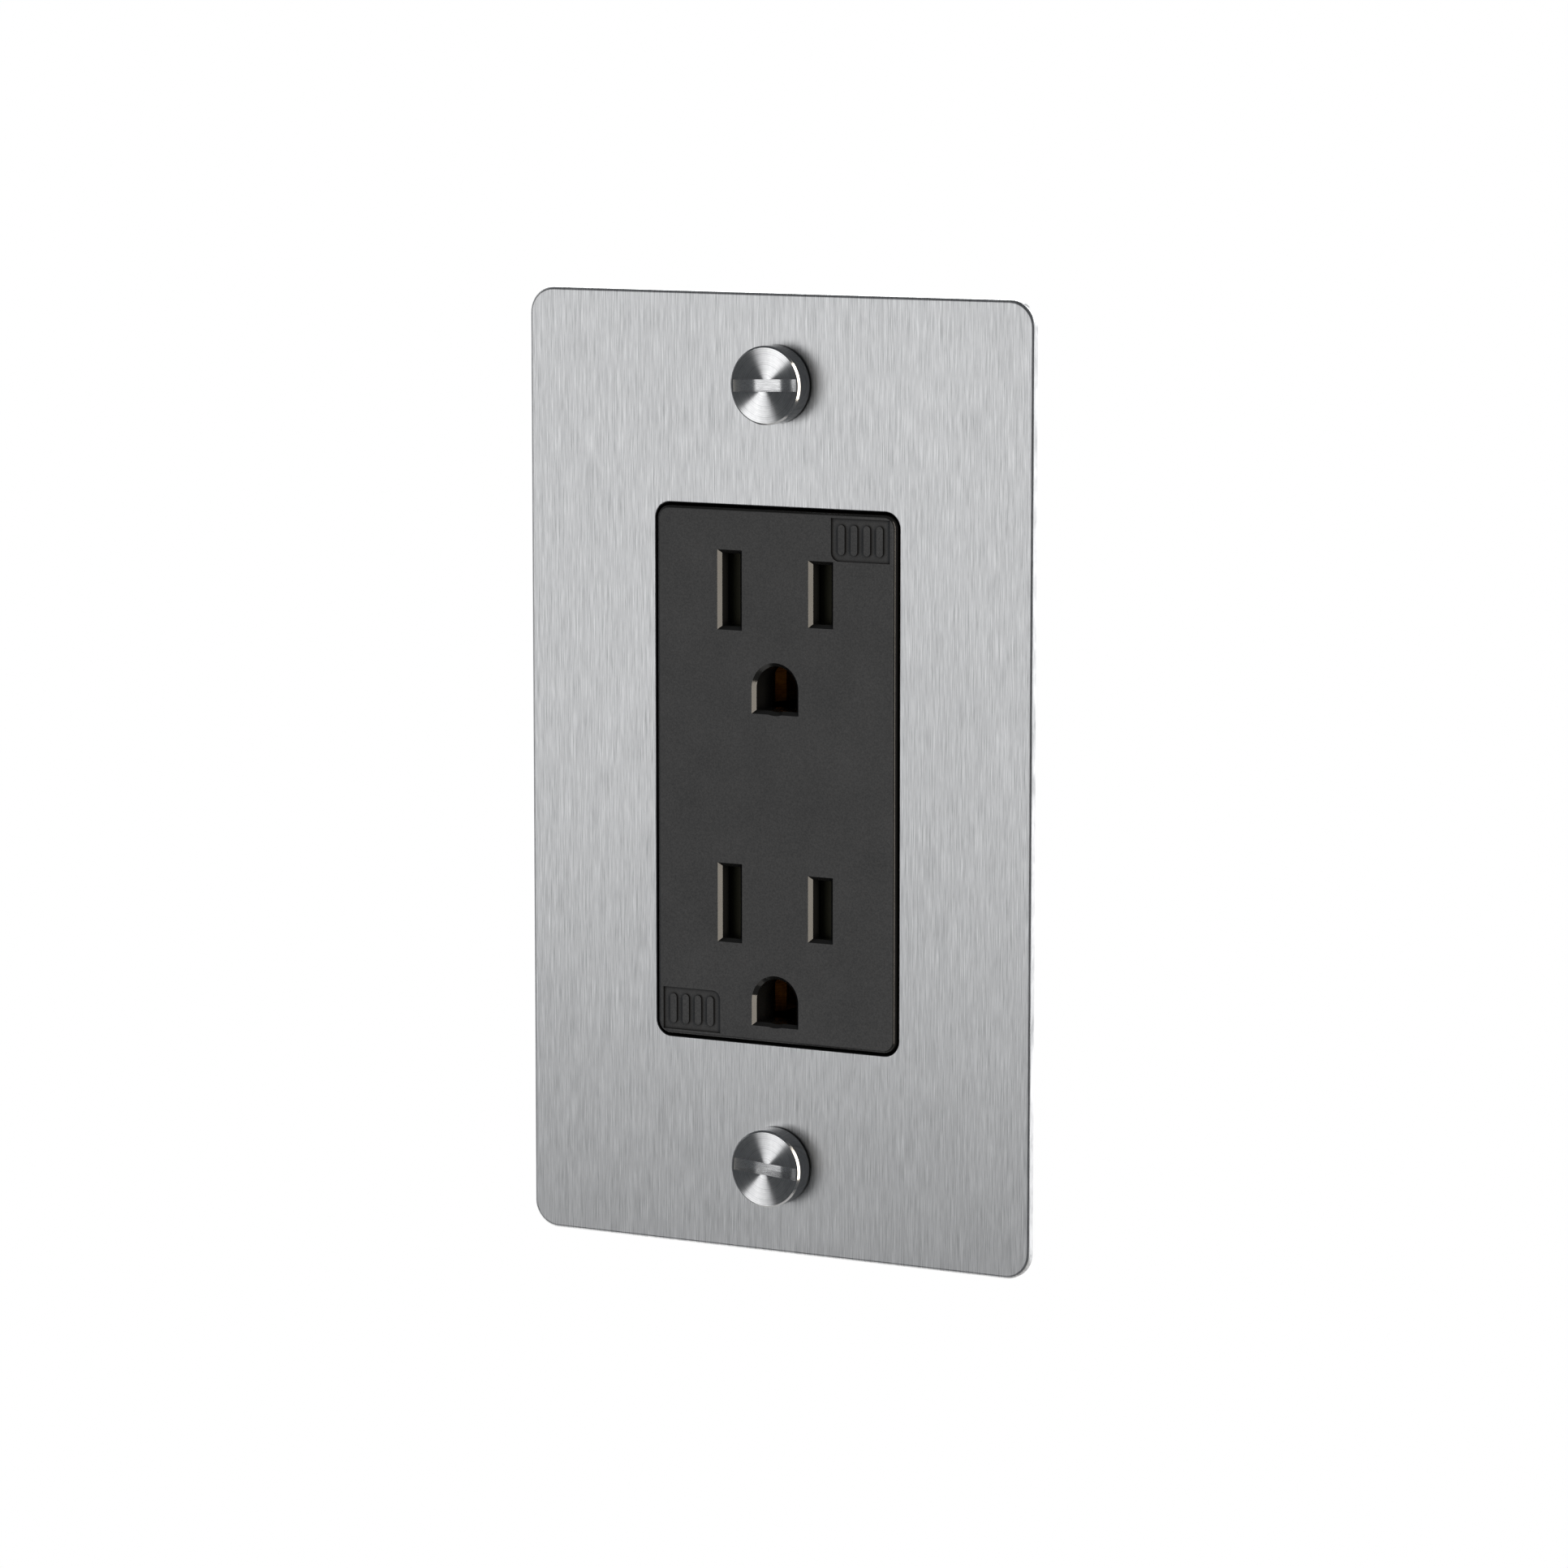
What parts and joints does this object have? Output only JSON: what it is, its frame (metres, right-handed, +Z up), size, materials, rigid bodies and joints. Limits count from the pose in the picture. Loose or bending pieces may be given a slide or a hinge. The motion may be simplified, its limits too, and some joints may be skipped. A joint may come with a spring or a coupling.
{
  "type": "duplex receptacle with wall plate",
  "caption": "Slotted-screw flat steel wall plate around a tamper-resistant grounded duplex receptacle, on its strap with terminals and box screws.",
  "frame": {"origin": "on the wall plane, level with the middle of the plate", "axes": "+Z up along the plate's long side, +Y into the wall, +X right as seen from the room"},
  "size_m": [0.0698, 0.0338, 0.119],
  "materials": {
    "brushed_plate": "fine vertical brushing",
    "turned_steel": "lathe-turned face, polished side",
    "washer_nylon": "black nylon",
    "grey_face": "fine matte grain",
    "shutter_plastic": "dark olive acetal",
    "tray_plastic": "moulded",
    "black_frame": "moulded",
    "body_plastic": "moulded",
    "zinc_steel": "zinc-plated",
    "clamp_steel": "zinc-plated",
    "contact_brass": "rolled strip",
    "brass_screw": "machined",
    "silver_screw": "nickel-plated",
    "green_screw": "green chromate",
    "spring_steel": "drawn wire",
    "fibre": "vulcanised fibre"
  },
  "bodies": {
    "device": {"wall_plate": "brushed_plate", "backing_frame": "black_frame", "mounting_strap": "zinc_steel", "receptacle_face": "grey_face", "rear_body": "body_plastic", "shutter_tray": "tray_plastic", "hot_contact": "contact_brass", "neutral_contact": "contact_brass", "ground_contact": "contact_brass", "assembly_screws": "zinc_steel", "box_screw_retainer_top": "fibre", "box_screw_retainer_bottom": "fibre", "shutter_spring_top": "spring_steel", "shutter_spring_bottom": "spring_steel"},
    "plate_washer_top": {"plate_screw_washer_top": "washer_nylon"},
    "plate_screw_top": {"plate_screw_top": "turned_steel"},
    "plate_washer_bottom": {"plate_screw_washer_bottom": "washer_nylon"},
    "plate_screw_bottom": {"plate_screw_bottom": "turned_steel"},
    "hot_clamp_top": {"hot_clamp_top": "clamp_steel"},
    "hot_screw_top": {"hot_terminal_screw_top": "brass_screw"},
    "hot_clamp_bottom": {"hot_clamp_bottom": "clamp_steel"},
    "hot_screw_bottom": {"hot_terminal_screw_bottom": "brass_screw"},
    "neutral_clamp_top": {"neutral_clamp_top": "clamp_steel"},
    "neutral_screw_top": {"neutral_terminal_screw_top": "silver_screw"},
    "neutral_clamp_bottom": {"neutral_clamp_bottom": "clamp_steel"},
    "neutral_screw_bottom": {"neutral_terminal_screw_bottom": "silver_screw"},
    "ground_clamp": {"ground_clamp": "clamp_steel"},
    "ground_screw": {"ground_terminal_screw": "green_screw"},
    "box_screw_top": {"box_screw_top": "zinc_steel"},
    "shutter_top": {"shutter_top": "shutter_plastic"},
    "box_screw_bottom": {"box_screw_bottom": "zinc_steel"},
    "shutter_bottom": {"shutter_bottom": "shutter_plastic"}
  },
  "joints": [
    {"name": "plate_screw_top_travel", "type": "slide", "parent": "device", "child": "plate_washer_top", "axis": [0, -1, 0], "range_m": [0, 0.00556]},
    {"name": "plate_screw_top_turn", "type": "hinge", "parent": "plate_washer_top", "child": "plate_screw_top", "pos_m": [0, -0.007, 0.04842], "axis": [0, -1, 0], "range_deg": [0, 2520]},
    {"name": "plate_screw_bottom_travel", "type": "slide", "parent": "device", "child": "plate_washer_bottom", "axis": [0, -1, 0], "range_m": [0, 0.00556]},
    {"name": "plate_screw_bottom_turn", "type": "hinge", "parent": "plate_washer_bottom", "child": "plate_screw_bottom", "pos_m": [0, -0.007, -0.04842], "axis": [0, -1, 0], "range_deg": [0, 2520]},
    {"name": "hot_terminal_top_travel", "type": "slide", "parent": "device", "child": "hot_clamp_top", "axis": [1, 0, 0], "range_m": [0, 0.00238]},
    {"name": "hot_terminal_top_turn", "type": "hinge", "parent": "hot_clamp_top", "child": "hot_screw_top", "pos_m": [0.0207, 0.0095, 0.014], "axis": [1, 0, 0], "range_deg": [0, 1080]},
    {"name": "hot_terminal_bottom_travel", "type": "slide", "parent": "device", "child": "hot_clamp_bottom", "axis": [1, 0, 0], "range_m": [0, 0.00238]},
    {"name": "hot_terminal_bottom_turn", "type": "hinge", "parent": "hot_clamp_bottom", "child": "hot_screw_bottom", "pos_m": [0.0207, 0.0095, -0.007], "axis": [1, 0, 0], "range_deg": [0, 1080]},
    {"name": "neutral_terminal_top_travel", "type": "slide", "parent": "device", "child": "neutral_clamp_top", "axis": [-1, 0, 0], "range_m": [0, 0.00238]},
    {"name": "neutral_terminal_top_turn", "type": "hinge", "parent": "neutral_clamp_top", "child": "neutral_screw_top", "pos_m": [-0.0207, 0.0095, 0.014], "axis": [-1, 0, 0], "range_deg": [0, 1080]},
    {"name": "neutral_terminal_bottom_travel", "type": "slide", "parent": "device", "child": "neutral_clamp_bottom", "axis": [-1, 0, 0], "range_m": [0, 0.00238]},
    {"name": "neutral_terminal_bottom_turn", "type": "hinge", "parent": "neutral_clamp_bottom", "child": "neutral_screw_bottom", "pos_m": [-0.0207, 0.0095, -0.007], "axis": [-1, 0, 0], "range_deg": [0, 1080]},
    {"name": "ground_terminal_travel", "type": "slide", "parent": "device", "child": "ground_clamp", "axis": [-1, 0, 0], "range_m": [0, 0.00238]},
    {"name": "ground_terminal_turn", "type": "hinge", "parent": "ground_clamp", "child": "ground_screw", "pos_m": [-0.0236, 0.007, -0.0255], "axis": [-1, 0, 0], "range_deg": [0, 1080]},
    {"name": "box_screw_top_turn", "type": "hinge", "parent": "device", "child": "box_screw_top", "pos_m": [0, 0, 0.04167], "axis": [0, -1, 0], "continuous": true},
    {"name": "shutter_top_slide", "type": "slide", "parent": "device", "child": "shutter_top", "axis": [1, 0, 0], "range_m": [0, 0.004], "stiffness_N_per_m": 60, "springref_m": -0.0015, "deforming": ["shutter_spring_top"]},
    {"name": "box_screw_bottom_turn", "type": "hinge", "parent": "device", "child": "box_screw_bottom", "pos_m": [0, 0, -0.04167], "axis": [0, -1, 0], "continuous": true},
    {"name": "shutter_bottom_slide", "type": "slide", "parent": "device", "child": "shutter_bottom", "axis": [1, 0, 0], "range_m": [0, 0.004], "stiffness_N_per_m": 60, "springref_m": -0.0015, "deforming": ["shutter_spring_bottom"]}
  ],
  "couplings": [
    {"joint": "plate_screw_top_turn", "follows": "plate_screw_top_travel", "rad_per_m": 7915.8},
    {"joint": "plate_screw_bottom_turn", "follows": "plate_screw_bottom_travel", "rad_per_m": 7915.8},
    {"joint": "hot_terminal_top_turn", "follows": "hot_terminal_top_travel", "rad_per_m": 7915.8},
    {"joint": "hot_terminal_bottom_turn", "follows": "hot_terminal_bottom_travel", "rad_per_m": 7915.8},
    {"joint": "neutral_terminal_top_turn", "follows": "neutral_terminal_top_travel", "rad_per_m": 7915.8},
    {"joint": "neutral_terminal_bottom_turn", "follows": "neutral_terminal_bottom_travel", "rad_per_m": 7915.8},
    {"joint": "ground_terminal_turn", "follows": "ground_terminal_travel", "rad_per_m": 7915.8}
  ]
}
